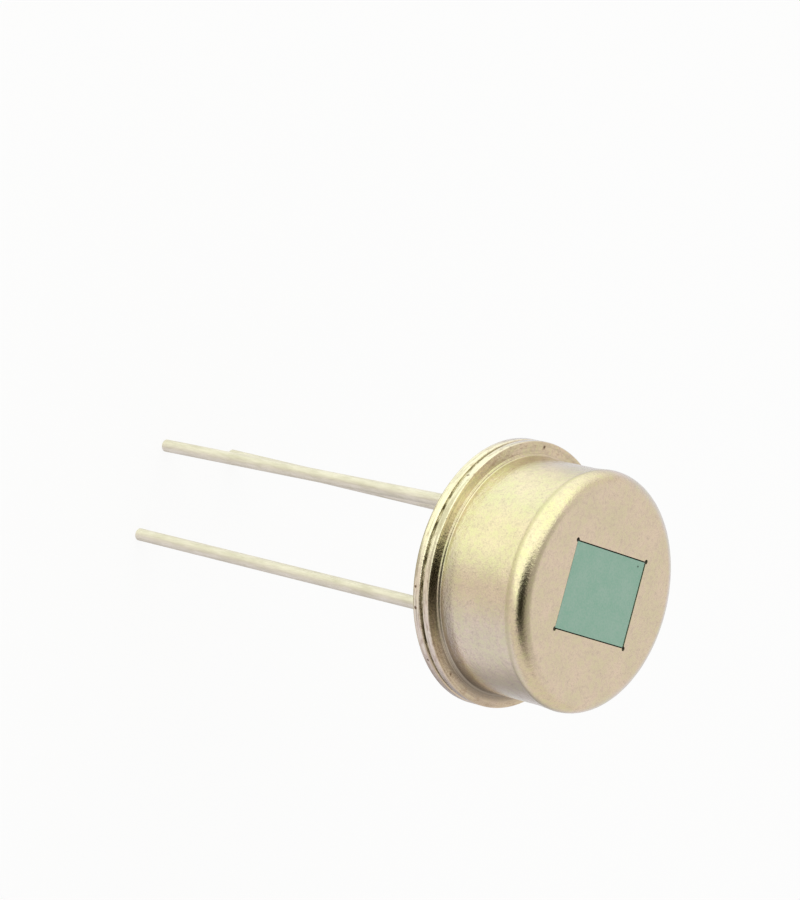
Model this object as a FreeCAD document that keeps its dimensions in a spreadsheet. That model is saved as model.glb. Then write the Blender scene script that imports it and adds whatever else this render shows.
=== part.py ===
# Passive infrared sensor in a round metal can with three leads.
# Lengths are in millimetres. The origin is the centre of the header's underside, which sits
# on the circuit board, and +Z runs along the can's axis to the window. The window's long side
# lies along X. The leads run down, along -Z.

import FreeCAD
import Part
import Sketcher
import os

os.makedirs("parts", exist_ok=True)
doc = FreeCAD.newDocument("infrared_sensor")

# Driving dimensions

SIZES = {
    # Can
    "can_height": 4.25,
    # The wall is this wide over most of its height and flares out a little below the face edge
    "barrel_diameter": 8.1,
    "flare_overhang": 0.05,
    "flare_height": 0.3,
    "flare_land": 0.08,
    "flange_overhang": 0.52,
    "sheet_thickness": 0.27,
    "top_edge_radius": 0.58,
    "root_bend_radius": 0.2,
    "rim_break": 0.06,
    # Window and its filter
    "window_length": 3.88,
    "window_width": 3.0,
    "corner_relief_diameter": 0.18,
    "window_gap": 0.04,
    "filter_thickness": 0.5,
    "filter_recess": 0.02,
    "bead_width": 0.55,
    "bead_height": 0.2,
    "plug_recess": 0.05,
    # Header
    "header_flange_thickness": 0.32,
    "weld_ridge_height": 0.11,
    "weld_ridge_width": 0.15,
    "pedestal_height": 0.5,
    "pedestal_clearance": 0.12,
    "pedestal_lead_in": 0.1,
    "index_tab_width": 0.8,
    "index_tab_reach": 0.85,
    "eyelet_diameter": 1.3,
    "glass_recess": 0.04,
    "ground_hole_diameter": 0.62,
    "braze_rise": 0.18,
    # Leads
    "lead_diameter": 0.45,
    "lead_length": 15.46,
    "lead_tip_bevel": 0.09,
    "lead_circle_diameter": 5.08,
    "lead_stub": 0.24,
    # Below the header each lead bends at this depth and leans by a few degrees towards an
    # angle that is counted from +X
    "lead_bend_depth": 0.6,
    "drain_lean_angle": 0.6,
    "drain_bearing_angle": -27.0,
    "source_lean_angle": 1.5,
    "source_bearing_angle": -50.0,
    "ground_lean_angle": 0.6,
    "ground_bearing_angle": 34.0,
    # Substrate board
    "board_end_clearance": 0.25,
    "board_side_margin": 0.6,
    "board_thickness": 0.5,
    "board_hole_clearance": 0.05,
    "board_clearance": 0.2,
    "recess_length": 2.8,
    "recess_width": 1.8,
    "recess_depth": 0.2,
    "track_thickness": 0.02,
    "track_width": 0.24,
    "land_width": 0.96,
    "solder_diameter": 0.86,
    "solder_rise": 0.2,
    "via_diameter": 0.22,
    # Pyroelectric element
    "element_length": 3.6,
    "element_width": 2.4,
    "element_thickness": 0.2,
    "electrode_length": 1.0,
    "electrode_width": 2.0,
    "electrode_pitch": 2.0,
    "electrode_thickness": 0.02,
    "support_length": 0.3,
    "support_width": 0.8,
    "support_height": 0.12,
    "support_margin": 0.05,
    # Transistor under the board
    "transistor_length": 2.0,
    "transistor_width": 1.25,
    "transistor_height": 0.9,
    "transistor_standoff": 0.06,
    "transistor_draft": 6.0,
    "leg_pitch": 1.3,
    "leg_width": 0.3,
    "leg_thickness": 0.12,
    "leg_reach": 0.42,
    # Gate resistor under the board
    "resistor_length": 1.6,
    "resistor_width": 0.8,
    "resistor_height": 0.45,
    "resistor_cap_length": 0.3,
    "resistor_cap_thickness": 0.04,
    "resistor_gap": 0.2,
    # Bonded round parts are drawn with this gap on the radius
    "bond_gap": 0.01,
}

sheet = doc.addObject("Spreadsheet::Sheet", "Sizes")
for row, (alias, size) in enumerate(SIZES.items(), start=1):
    sheet.set("A%d" % row, alias)
    sheet.set("B%d" % row, str(size))
    sheet.setAlias("B%d" % row, alias)
doc.recompute()

# Expressions that more than one piece uses

BARREL_RADIUS = "Sizes.barrel_diameter / 2"
FLARE_RADIUS = "(Sizes.barrel_diameter / 2 + Sizes.flare_overhang)"
BORE_RADIUS = "(Sizes.barrel_diameter / 2 - Sizes.sheet_thickness)"
FLANGE_RADIUS = "(Sizes.barrel_diameter / 2 + Sizes.flange_overhang)"
CAN_FLANGE_LOW = "(Sizes.header_flange_thickness + Sizes.weld_ridge_height)"
CAN_FLANGE_TOP = "(%s + Sizes.sheet_thickness)" % CAN_FLANGE_LOW
CAN_CEILING = "(Sizes.can_height - Sizes.sheet_thickness)"
FILTER_LENGTH = "(Sizes.window_length - 2 * Sizes.window_gap)"
FILTER_WIDTH = "(Sizes.window_width - 2 * Sizes.window_gap)"
DECK = "(Sizes.header_flange_thickness + Sizes.pedestal_height)"
LEAD_RADIUS = "Sizes.lead_diameter / 2"
TIP_BEVEL = "min(Sizes.lead_tip_bevel; Sizes.lead_diameter / 4.5)"
LEAD_OFFSET = "(Sizes.lead_circle_diameter / 2 * cos(45))"
TRANSISTOR_DROP = "(Sizes.transistor_standoff + Sizes.transistor_height)"
UNDER_TRACKS = "(%s + Sizes.board_clearance + %s)" % (DECK, TRANSISTOR_DROP)
BOARD_LOW = "(%s + Sizes.track_thickness)" % UNDER_TRACKS
BOARD_TOP = "(%s + Sizes.board_thickness)" % BOARD_LOW
OVER_TRACKS = "(%s + Sizes.track_thickness)" % BOARD_TOP
LEAD_TOP = "(%s + Sizes.lead_stub)" % BOARD_TOP
ELEMENT_LOW = "(%s + Sizes.support_height)" % OVER_TRACKS
ELEMENT_TOP = "(%s + Sizes.element_thickness)" % ELEMENT_LOW
SUPPORT_OFFSET = "(Sizes.recess_length / 2 + Sizes.support_margin + Sizes.support_length / 2)"

# Each lead: its name and the signs of its X and Y place
LEADS = {
    "drain": (-1, -1),
    "source": (-1, 1),
    "ground": (1, 1),
}


def value(expression):
    """Work out an expression with the sheet's present numbers."""
    return float(sheet.evalExpression(expression))


def signed(sign, expression):
    """Write an expression with the sign that is asked for."""
    return expression if sign > 0 else "-" + expression


def place(piece, across="0", along="0", low="0"):
    """Bind the place of a piece to expressions."""
    piece.setExpression("Placement.Base.x", across)
    piece.setExpression("Placement.Base.y", along)
    piece.setExpression("Placement.Base.z", low)


# Sketches and features for pieces that are turned, stamped or moulded

def new_body(name):
    """Start a piece of its own."""
    body = doc.addObject("PartDesign::Body", name)
    body.Label = name
    return body


def new_sketch(body, name, role, lift="0"):
    """Start a sketch on one of the piece's own planes, lifted along the plane's normal."""
    sketch = body.newObject("Sketcher::SketchObject", name)
    plane = [feature for feature in body.Origin.OriginFeatures if feature.Role == role][0]
    sketch.AttachmentSupport = [(plane, "")]
    sketch.MapMode = "FlatFace"
    sketch.setExpression("AttachmentOffset.Base.z", lift)
    return sketch


def fix(sketch, kind, geometry, point, expression, name):
    """Hold a point of a sketch at a distance from the sketch's origin."""
    number = sketch.addConstraint(
        Sketcher.Constraint(kind, -1, 1, geometry, point, value(expression)))
    sketch.renameConstraint(number, name)
    sketch.setExpression("Constraints." + name, expression)


def draw_outline(sketch, corners):
    """Draw a closed outline through corners that are pairs of expressions."""
    points = [FreeCAD.Vector(value(across), value(up), 0) for across, up in corners]
    count = len(points)
    first = sketch.GeometryCount
    for index in range(count):
        edge = Part.LineSegment(points[index], points[(index + 1) % count])
        sketch.addGeometry(edge, False)
    for index in range(count):
        following = first + (index + 1) % count
        sketch.addConstraint(Sketcher.Constraint("Coincident", first + index, 2, following, 1))
    for index, (across, up) in enumerate(corners, start=first):
        fix(sketch, "DistanceX", index, 1, across, "across%d" % index)
        fix(sketch, "DistanceY", index, 1, up, "up%d" % index)


def draw_path(sketch, corners):
    """Draw an open line through corners that are pairs of expressions."""
    points = [FreeCAD.Vector(value(across), value(up), 0) for across, up in corners]
    for index in range(len(points) - 1):
        sketch.addGeometry(Part.LineSegment(points[index], points[index + 1]), False)
        fix(sketch, "DistanceX", index, 1, corners[index][0], "across%d" % index)
        fix(sketch, "DistanceY", index, 1, corners[index][1], "up%d" % index)
        if index > 0:
            sketch.addConstraint(Sketcher.Constraint("Coincident", index - 1, 2, index, 1))
    last = len(points) - 2
    fix(sketch, "DistanceX", last, 2, corners[-1][0], "across_end")
    fix(sketch, "DistanceY", last, 2, corners[-1][1], "up_end")


def draw_rectangle(sketch, length, width):
    """Draw a rectangle that is centred on the sketch's origin."""
    half_length = "%s / 2" % length
    half_width = "%s / 2" % width
    draw_outline(sketch, [
        ("-" + half_length, "-" + half_width),
        (half_length, "-" + half_width),
        (half_length, half_width),
        ("-" + half_length, half_width),
    ])


def draw_circles(sketch, diameter, centres):
    """Draw like circles at centres that are pairs of expressions."""
    for index, (across, up) in enumerate(centres):
        centre = FreeCAD.Vector(value(across), value(up), 0)
        radius = value(diameter) / 2
        sketch.addGeometry(Part.Circle(centre, FreeCAD.Vector(0, 0, 1), radius), False)
        fix(sketch, "DistanceX", index, 3, across, "across%d" % index)
        fix(sketch, "DistanceY", index, 3, up, "up%d" % index)
        number = sketch.addConstraint(Sketcher.Constraint("Diameter", index, 2 * radius))
        sketch.renameConstraint(number, "diameter%d" % index)
        sketch.setExpression("Constraints.diameter%d" % index, diameter)


def turn(body, name, corners):
    """Turn an outline of radius and height pairs about the Z axis."""
    sketch = new_sketch(body, name + "_outline", "XZ_Plane")
    draw_outline(sketch, corners)
    turned = body.newObject("PartDesign::Revolution", name)
    turned.Profile = sketch
    turned.ReferenceAxis = (sketch, ["V_Axis"])
    turned.Angle = 360.0
    doc.recompute()
    return turned


def pad(body, name, sketch, length):
    """Raise a sketch along its normal."""
    raised = body.newObject("PartDesign::Pad", name)
    raised.Profile = sketch
    raised.setExpression("Length", length)
    doc.recompute()
    return raised


def cut_through(body, name, sketch, upwards=False):
    """Cut a sketch through the whole piece, and make sure that it took material away."""
    before = body.Shape.Volume
    cut = body.newObject("PartDesign::Pocket", name)
    cut.Profile = sketch
    cut.Type = "ThroughAll"
    cut.Reversed = upwards
    doc.recompute()
    if body.Shape.Volume >= before:
        raise RuntimeError(name + " cuts nothing")
    return cut


def cut_depth(body, name, sketch, depth):
    """Cut a sketch down to a depth, and make sure that it took material away."""
    before = body.Shape.Volume
    cut = body.newObject("PartDesign::Pocket", name)
    cut.Profile = sketch
    cut.setExpression("Length", depth)
    doc.recompute()
    if body.Shape.Volume >= before:
        raise RuntimeError(name + " cuts nothing")
    return cut


def ring_edges(feature, radius, height):
    """Name the circular edges about the Z axis at a radius and a height."""
    near = 1e-4
    found = []
    for index, edge in enumerate(feature.Shape.Edges, start=1):
        curve = edge.Curve
        if not isinstance(curve, Part.Circle):
            continue
        centred = abs(curve.Center.x) < near and abs(curve.Center.y) < near
        as_wide = abs(curve.Radius - value(radius)) < near
        as_high = abs(curve.Center.z - value(height)) < near
        if centred and as_wide and as_high:
            found.append("Edge%d" % index)
    if not found:
        raise RuntimeError("no edge at radius %s and height %s" % (radius, height))
    return found


def lowest_edges(feature):
    """Name the edge that lies lowest."""
    tops = [edge.BoundBox.ZMax for edge in feature.Shape.Edges]
    return ["Edge%d" % (tops.index(min(tops)) + 1)]


def upright_edges(feature):
    """Name the straight edges that stand along Z."""
    return [
        "Edge%d" % index
        for index, edge in enumerate(feature.Shape.Edges, start=1)
        if len(edge.Vertexes) == 2
        and isinstance(edge.Curve, Part.Line)
        and abs(edge.tangentAt(edge.FirstParameter).z) > 0.999
    ]


def dress(body, kind, name, base, edges, size):
    """Round or bevel edges of a piece. kind is Fillet or Chamfer."""
    dressing = body.newObject("PartDesign::" + kind, name)
    dressing.Base = (base, edges)
    dressing.setExpression("Radius" if kind == "Fillet" else "Size", size)
    doc.recompute()
    return dressing


# Plain blocks and rings

def block(name, length, width, height, across="0", along="0", low="0"):
    """A block that is centred on its place and stands on its low face."""
    solid = doc.addObject("Part::Box", name)
    solid.setExpression("Length", length)
    solid.setExpression("Width", width)
    solid.setExpression("Height", height)
    place(solid, "%s - %s / 2" % (across, length), "%s - %s / 2" % (along, width), low)
    return solid


def rod(name, diameter, height, across="0", along="0", low="0"):
    """A round bar that stands on its low face."""
    solid = doc.addObject("Part::Cylinder", name)
    solid.setExpression("Radius", "%s / 2" % diameter)
    solid.setExpression("Height", height)
    place(solid, across, along, low)
    return solid


def ring(name, outside, inside, height, across="0", along="0", low="0"):
    """A round bar with a bore all the way through."""
    solid = doc.addObject("Part::Cut", name)
    solid.Base = rod(name + "_outside", outside, height, across, along, low)
    solid.Tool = rod(name + "_bore", inside, height, across, along, low)
    return solid


# Can: one drawn shell with a turned-out welding flange, a slight flare under its rounded face
# edge, and a punched window whose corners are relieved by small round holes. A bevel of this
# share of the bend's radius keeps the sheet as thick in mid-bend as it is elsewhere.

BEND_SHARE = "(2 - sqrt(2))"


def make_can():
    can = new_body("can")
    ceiling_radius = "(Sizes.top_edge_radius - Sizes.sheet_thickness)"
    flare_top = "(Sizes.can_height - Sizes.top_edge_radius - Sizes.flare_land)"
    shell = turn(can, "can_shell", [
        (BORE_RADIUS, CAN_FLANGE_LOW),
        (FLANGE_RADIUS, CAN_FLANGE_LOW),
        (FLANGE_RADIUS, CAN_FLANGE_TOP),
        (BARREL_RADIUS, CAN_FLANGE_TOP),
        (BARREL_RADIUS, "%s - Sizes.flare_height" % flare_top),
        (FLARE_RADIUS, flare_top),
        (FLARE_RADIUS, "Sizes.can_height"),
        ("0", "Sizes.can_height"),
        ("0", CAN_CEILING),
        (BORE_RADIUS, CAN_CEILING),
    ])
    face_edge = dress(can, "Fillet", "can_face_edge", shell,
                      ring_edges(shell, FLARE_RADIUS, "Sizes.can_height"), "Sizes.top_edge_radius")
    inner_edge = dress(can, "Chamfer", "can_inner_edge", face_edge,
                       ring_edges(face_edge, BORE_RADIUS, CAN_CEILING),
                       "%s * %s" % (BEND_SHARE, ceiling_radius))
    root = dress(can, "Fillet", "can_root", inner_edge,
                 ring_edges(inner_edge, BARREL_RADIUS, CAN_FLANGE_TOP), "Sizes.root_bend_radius")
    bend = dress(can, "Chamfer", "can_bend", root,
                 ring_edges(root, BORE_RADIUS, CAN_FLANGE_LOW),
                 "%s * (Sizes.root_bend_radius + Sizes.sheet_thickness)" % BEND_SHARE)
    rim_edges = ring_edges(bend, FLANGE_RADIUS, CAN_FLANGE_LOW)
    rim_edges += ring_edges(bend, FLANGE_RADIUS, CAN_FLANGE_TOP)
    dress(can, "Chamfer", "can_rim", bend, rim_edges, "Sizes.rim_break")

    window = new_sketch(can, "window_outline", "XY_Plane", "Sizes.can_height")
    draw_rectangle(window, "Sizes.window_length", "Sizes.window_width")
    cut_through(can, "window_opening", window)
    reliefs = new_sketch(can, "relief_outline", "XY_Plane", "Sizes.can_height")
    draw_circles(reliefs, "Sizes.corner_relief_diameter", window_corners())
    cut_through(can, "window_corner_reliefs", reliefs)
    return can


def window_corners():
    """The four corners of the window, as pairs of expressions."""
    half_length = "Sizes.window_length / 2"
    half_width = "Sizes.window_width / 2"
    return [
        (signed(across, half_length), signed(along, half_width))
        for across in (-1, 1)
        for along in (-1, 1)
    ]


# Filter plate in the window, and the bead that glues it in from inside and fills the reliefs

def make_filter():
    low = "Sizes.can_height - Sizes.filter_recess - Sizes.filter_thickness"
    return block("infrared_filter", FILTER_LENGTH, FILTER_WIDTH, "Sizes.filter_thickness", low=low)


def make_bead():
    bead = new_body("filter_adhesive")
    frame = new_sketch(bead, "bead_outline", "XY_Plane", "%s - Sizes.bead_height" % CAN_CEILING)
    draw_rectangle(frame,
                   "(%s + 2 * Sizes.bead_width)" % FILTER_LENGTH,
                   "(%s + 2 * Sizes.bead_width)" % FILTER_WIDTH)
    slab = pad(bead, "bead_frame", frame, "Sizes.bead_height")
    dress(bead, "Chamfer", "bead_corners", slab, upright_edges(slab), "Sizes.bead_width / 2")
    plugs = new_sketch(bead, "plug_outline", "XY_Plane", CAN_CEILING)
    draw_circles(plugs, "(Sizes.corner_relief_diameter - 2 * Sizes.bond_gap)", window_corners())
    pad(bead, "bead_corner_plugs", plugs, "Sizes.sheet_thickness - Sizes.plug_recess")
    seat = new_sketch(bead, "filter_seat_outline", "XY_Plane", "Sizes.can_height")
    draw_rectangle(seat, FILTER_LENGTH, FILTER_WIDTH)
    cut_through(bead, "filter_seat", seat)
    return bead


# Header: turned base with a weld ridge under the can's flange, a pedestal inside the can, the
# index tab at the side, two wide eyelets for glass and a close hole for the ground lead

def make_header():
    header = new_body("header")
    ridge_inside = "(%s + Sizes.root_bend_radius)" % BARREL_RADIUS
    ridge_outside = "(%s + Sizes.weld_ridge_width)" % ridge_inside
    pedestal_radius = "(%s - Sizes.pedestal_clearance)" % BORE_RADIUS
    base = turn(header, "header_base", [
        ("0", "0"),
        (FLANGE_RADIUS, "0"),
        (FLANGE_RADIUS, "Sizes.header_flange_thickness"),
        (ridge_outside, "Sizes.header_flange_thickness"),
        (ridge_outside, CAN_FLANGE_LOW),
        (ridge_inside, CAN_FLANGE_LOW),
        (ridge_inside, "Sizes.header_flange_thickness"),
        (pedestal_radius, "Sizes.header_flange_thickness"),
        (pedestal_radius, DECK),
        ("0", DECK),
    ])
    rim_edges = ring_edges(base, FLANGE_RADIUS, "0")
    rim_edges += ring_edges(base, FLANGE_RADIUS, "Sizes.header_flange_thickness")
    rim = dress(header, "Chamfer", "header_rim", base, rim_edges, "Sizes.rim_break")
    dress(header, "Chamfer", "pedestal_edge", rim,
          ring_edges(rim, pedestal_radius, DECK), "Sizes.pedestal_lead_in")

    tab_inside = "(%s - Sizes.index_tab_width)" % FLANGE_RADIUS
    tab_outside = "(%s + Sizes.index_tab_reach)" % FLANGE_RADIUS
    half_tab = "Sizes.index_tab_width / 2"
    tab = new_sketch(header, "index_tab_outline", "XY_Plane")
    draw_outline(tab, [
        (tab_inside, "-" + half_tab),
        (tab_outside, "-" + half_tab),
        (tab_outside, half_tab),
        (tab_inside, half_tab),
    ])
    pad(header, "index_tab", tab, "Sizes.header_flange_thickness")

    eyelets = new_sketch(header, "eyelet_outline", "XY_Plane")
    draw_circles(eyelets, "Sizes.eyelet_diameter", [lead_place("drain"), lead_place("source")])
    cut_through(header, "glass_eyelets", eyelets, upwards=True)
    ground = new_sketch(header, "ground_hole_outline", "XY_Plane")
    draw_circles(ground, "Sizes.ground_hole_diameter", [lead_place("ground")])
    cut_through(header, "ground_hole", ground, upwards=True)
    return header


def lead_place(name):
    """Where a lead passes through the header, as a pair of expressions."""
    across, along = LEADS[name]
    return signed(across, LEAD_OFFSET), signed(along, LEAD_OFFSET)


# Leads, and what fixes each one in the header and on the board

def make_lead(name):
    lead = new_body("lead_" + name)
    lean = "Sizes.%s_lean_angle" % name
    reach = "(Sizes.lead_length - Sizes.lead_bend_depth)"
    section = new_sketch(lead, "lead_%s_section" % name, "XY_Plane", LEAD_TOP)
    draw_circles(section, "Sizes.lead_diameter", [("0", "0")])
    path = new_sketch(lead, "lead_%s_path" % name, "XZ_Plane")
    draw_path(path, [
        ("0", LEAD_TOP),
        ("0", "-Sizes.lead_bend_depth"),
        ("%s * sin(%s)" % (reach, lean),
         "-Sizes.lead_bend_depth - %s * cos(%s)" % (reach, lean)),
    ])
    wire = lead.newObject("PartDesign::AdditivePipe", "lead_%s_wire" % name)
    wire.Profile = section
    wire.Spine = path
    wire.Transition = "Right corner"
    doc.recompute()
    dress(lead, "Chamfer", "lead_%s_tip" % name, wire, lowest_edges(wire), TIP_BEVEL)
    place(lead, *lead_place(name))
    lead.setExpression("Placement.Rotation.Angle", "Sizes.%s_bearing_angle" % name)
    return lead


def make_glass_seal(name):
    across, along = lead_place(name)
    return ring("glass_seal_" + name,
                "(Sizes.eyelet_diameter - 2 * Sizes.bond_gap)",
                "(Sizes.lead_diameter + 2 * Sizes.bond_gap)",
                "%s - 2 * Sizes.glass_recess" % DECK,
                across, along, "Sizes.glass_recess")


def make_ground_braze():
    braze = new_body("ground_braze")
    inside = "(%s + Sizes.bond_gap)" % LEAD_RADIUS
    outside = "(Sizes.ground_hole_diameter / 2 - Sizes.bond_gap)"
    foot = "(Sizes.ground_hole_diameter / 2 + Sizes.braze_rise)"
    turn(braze, "braze_collar", [
        (inside, "0"),
        (outside, "0"),
        (outside, DECK),
        (foot, DECK),
        (inside, "%s + Sizes.braze_rise" % DECK),
    ])
    place(braze, *lead_place("ground"))
    return braze


def make_solder_joint(name):
    joint = new_body("solder_joint_" + name)
    inside = "(%s + Sizes.bond_gap)" % LEAD_RADIUS
    outside = "Sizes.solder_diameter / 2"
    turn(joint, "solder_fillet_" + name, [
        (inside, "0"),
        (outside, "0"),
        (inside, "Sizes.solder_rise"),
    ])
    across, along = lead_place(name)
    place(joint, across, along, OVER_TRACKS)
    return joint


# Substrate: ceramic board whose ends follow the can's bore and whose long sides are cut flat,
# with a shallow recess under the element and a hole at each lead

def make_substrate():
    substrate = new_body("substrate")
    outline = new_sketch(substrate, "board_outline", "XY_Plane")
    draw_circles(outline, "(2 * %s - 2 * Sizes.board_end_clearance)" % BORE_RADIUS, [("0", "0")])
    pad(substrate, "board_plate", outline, "Sizes.board_thickness")
    half_width = "(%s + Sizes.board_side_margin)" % LEAD_OFFSET
    flats = new_sketch(substrate, "board_flat_outline", "XY_Plane", "Sizes.board_thickness")
    for sign in (-1, 1):
        draw_outline(flats, [
            ("-" + BORE_RADIUS, signed(sign, half_width)),
            (BORE_RADIUS, signed(sign, half_width)),
            (BORE_RADIUS, signed(sign, BORE_RADIUS)),
            ("-" + BORE_RADIUS, signed(sign, BORE_RADIUS)),
        ])
    cut_through(substrate, "board_flats", flats)
    recess = new_sketch(substrate, "recess_outline", "XY_Plane", "Sizes.board_thickness")
    draw_rectangle(recess, "Sizes.recess_length", "Sizes.recess_width")
    cut_depth(substrate, "element_recess", recess, "Sizes.recess_depth")
    holes = new_sketch(substrate, "board_hole_outline", "XY_Plane", "Sizes.board_thickness")
    draw_circles(holes, "(Sizes.lead_diameter + 2 * Sizes.board_hole_clearance)",
                 [lead_place(name) for name in LEADS])
    cut_through(substrate, "board_holes", holes)
    via = new_sketch(substrate, "via_hole_outline", "XY_Plane", "Sizes.board_thickness")
    draw_circles(via, "Sizes.via_diameter", [VIA_PLACE])
    cut_through(substrate, "via_hole", via)
    place(substrate, low=BOARD_LOW)
    return substrate


# Printed conductors: a land at each lead and straight runs, each from one corner to another

RESISTOR_ACROSS = "(%s + Sizes.leg_reach + Sizes.resistor_gap + Sizes.resistor_width / 2)" % (
    "Sizes.transistor_width / 2")
RESISTOR_CAP_ALONG = "(Sizes.resistor_length / 2 - Sizes.resistor_cap_length / 2)"
LEG_FOOT_ACROSS = "(Sizes.transistor_width / 2 + Sizes.leg_reach - Sizes.track_width / 2)"
LEG_ALONG = "Sizes.leg_pitch / 2"
VIA_PLACE = (SUPPORT_OFFSET, "-" + RESISTOR_CAP_ALONG)
GUARD_ALONG = "(Sizes.recess_width / 2 + Sizes.track_width)"


def land(name, across, along, low):
    """A square land with a hole for its lead."""
    solid = doc.addObject("Part::Cut", name)
    solid.Base = block(name + "_square", "Sizes.land_width", "Sizes.land_width",
                       "Sizes.track_thickness", across, along, low)
    solid.Tool = rod(name + "_hole", "(Sizes.lead_diameter + 2 * Sizes.board_hole_clearance)",
                     "Sizes.track_thickness", across, along, low)
    return solid


def make_tracks(name, low, runs):
    """Lands and runs of one side of the board. A run is its low and its high corner."""
    pieces = []
    for lead in LEADS:
        across, along = lead_place(lead)
        pieces.append(land("%s_land_%s" % (name, lead), across, along, low))
    for index, (low_across, low_along, high_across, high_along) in enumerate(runs):
        length = "(%s - (%s) + Sizes.track_width)" % (high_across, low_across)
        width = "(%s - (%s) + Sizes.track_width)" % (high_along, low_along)
        across = "(%s + %s) / 2" % (high_across, low_across)
        along = "(%s + %s) / 2" % (high_along, low_along)
        pieces.append(block("%s_run%d" % (name, index), length, width,
                            "Sizes.track_thickness", across, along, low))
    tracks = doc.addObject("Part::MultiFuse", name)
    tracks.Shapes = pieces
    tracks.Refine = True
    return tracks


LAND_EDGE = "(%s - Sizes.land_width / 2)" % LEAD_OFFSET

UPPER_RUNS = [
    (SUPPORT_OFFSET, "-" + RESISTOR_CAP_ALONG, SUPPORT_OFFSET, "Sizes.support_width / 2"),
    ("-" + SUPPORT_OFFSET, "-Sizes.support_width / 2", "-" + SUPPORT_OFFSET, GUARD_ALONG),
    ("-" + SUPPORT_OFFSET, GUARD_ALONG, LEAD_OFFSET, GUARD_ALONG),
    (LEAD_OFFSET, GUARD_ALONG, LEAD_OFFSET, LAND_EDGE),
]

LOWER_RUNS = [
    ("-" + LEAD_OFFSET, "-" + LAND_EDGE, "-" + LEAD_OFFSET, "-" + LEG_ALONG),
    ("-" + LEAD_OFFSET, "-" + LEG_ALONG, "-" + LEG_FOOT_ACROSS, "-" + LEG_ALONG),
    ("-" + LEAD_OFFSET, LEG_ALONG, "-" + LEAD_OFFSET, LAND_EDGE),
    ("-" + LEAD_OFFSET, LEG_ALONG, "-" + LEG_FOOT_ACROSS, LEG_ALONG),
    (LEG_FOOT_ACROSS, "-" + RESISTOR_CAP_ALONG, LEG_FOOT_ACROSS, "0"),
    (LEG_FOOT_ACROSS, "-" + RESISTOR_CAP_ALONG, RESISTOR_ACROSS, "-" + RESISTOR_CAP_ALONG),
    (RESISTOR_ACROSS, RESISTOR_CAP_ALONG, RESISTOR_ACROSS, LAND_EDGE),
]


def make_via():
    """Plug that joins the upper and the lower tracks of the gate."""
    across, along = VIA_PLACE
    return rod("gate_via", "(Sizes.via_diameter - 2 * Sizes.bond_gap)",
               "Sizes.board_thickness", across, along, BOARD_LOW)


# Pyroelectric element on two dabs of conductive adhesive, with its electrodes

def make_support(name, sign):
    return block("element_support_" + name, "Sizes.support_length", "Sizes.support_width",
                 "Sizes.support_height", signed(sign, SUPPORT_OFFSET), "0", OVER_TRACKS)


def make_element():
    return block("pyroelectric_element", "Sizes.element_length", "Sizes.element_width",
                 "Sizes.element_thickness", low=ELEMENT_LOW)


def make_electrode(name, sign):
    across = signed(sign, "Sizes.electrode_pitch / 2")
    return block("front_electrode_" + name, "Sizes.electrode_length", "Sizes.electrode_width",
                 "Sizes.electrode_thickness", across, "0", ELEMENT_TOP)


# Transistor: moulded body with drafted sides and three bent legs, hung under the board

def make_transistor_body():
    moulding = new_body("transistor_body")
    middle = "-(Sizes.transistor_standoff + Sizes.transistor_height / 2)"
    outline = new_sketch(moulding, "transistor_outline", "XY_Plane", middle)
    draw_rectangle(outline, "Sizes.transistor_width", "Sizes.transistor_length")
    block_pad = moulding.newObject("PartDesign::Pad", "transistor_moulding")
    block_pad.Profile = outline
    block_pad.SideType = "Symmetric"
    block_pad.setExpression("Length", "Sizes.transistor_height")
    block_pad.setExpression("TaperAngle", "-Sizes.transistor_draft")
    place(moulding, low=UNDER_TRACKS)
    doc.recompute()
    return moulding


def make_transistor_leg(name, sign, along):
    leg = new_body("transistor_leg_" + name)
    middle = "-(Sizes.transistor_standoff + Sizes.transistor_height / 2)"
    half = "Sizes.leg_thickness / 2"
    shin = "Sizes.leg_reach / 2"
    side = new_sketch(leg, "leg_%s_side" % name, "XZ_Plane")
    draw_outline(side, [
        ("0", "%s - %s" % (middle, half)),
        (shin, "%s - %s" % (middle, half)),
        (shin, "-Sizes.leg_thickness"),
        ("Sizes.leg_reach", "-Sizes.leg_thickness"),
        ("Sizes.leg_reach", "0"),
        ("%s - Sizes.leg_thickness" % shin, "0"),
        ("%s - Sizes.leg_thickness" % shin, "%s + %s" % (middle, half)),
        ("0", "%s + %s" % (middle, half)),
    ])
    strip = leg.newObject("PartDesign::Pad", "leg_%s_strip" % name)
    strip.Profile = side
    strip.SideType = "Symmetric"
    strip.setExpression("Length", "Sizes.leg_width")
    turned_back = 0 if sign > 0 else 180
    leg.Placement = FreeCAD.Placement(
        FreeCAD.Vector(0, 0, 0), FreeCAD.Rotation(FreeCAD.Vector(0, 0, 1), turned_back))
    place(leg, signed(sign, "Sizes.transistor_width / 2"), along, UNDER_TRACKS)
    doc.recompute()
    return leg


# Gate resistor: a ceramic chip with a metal cap over each end

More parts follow.
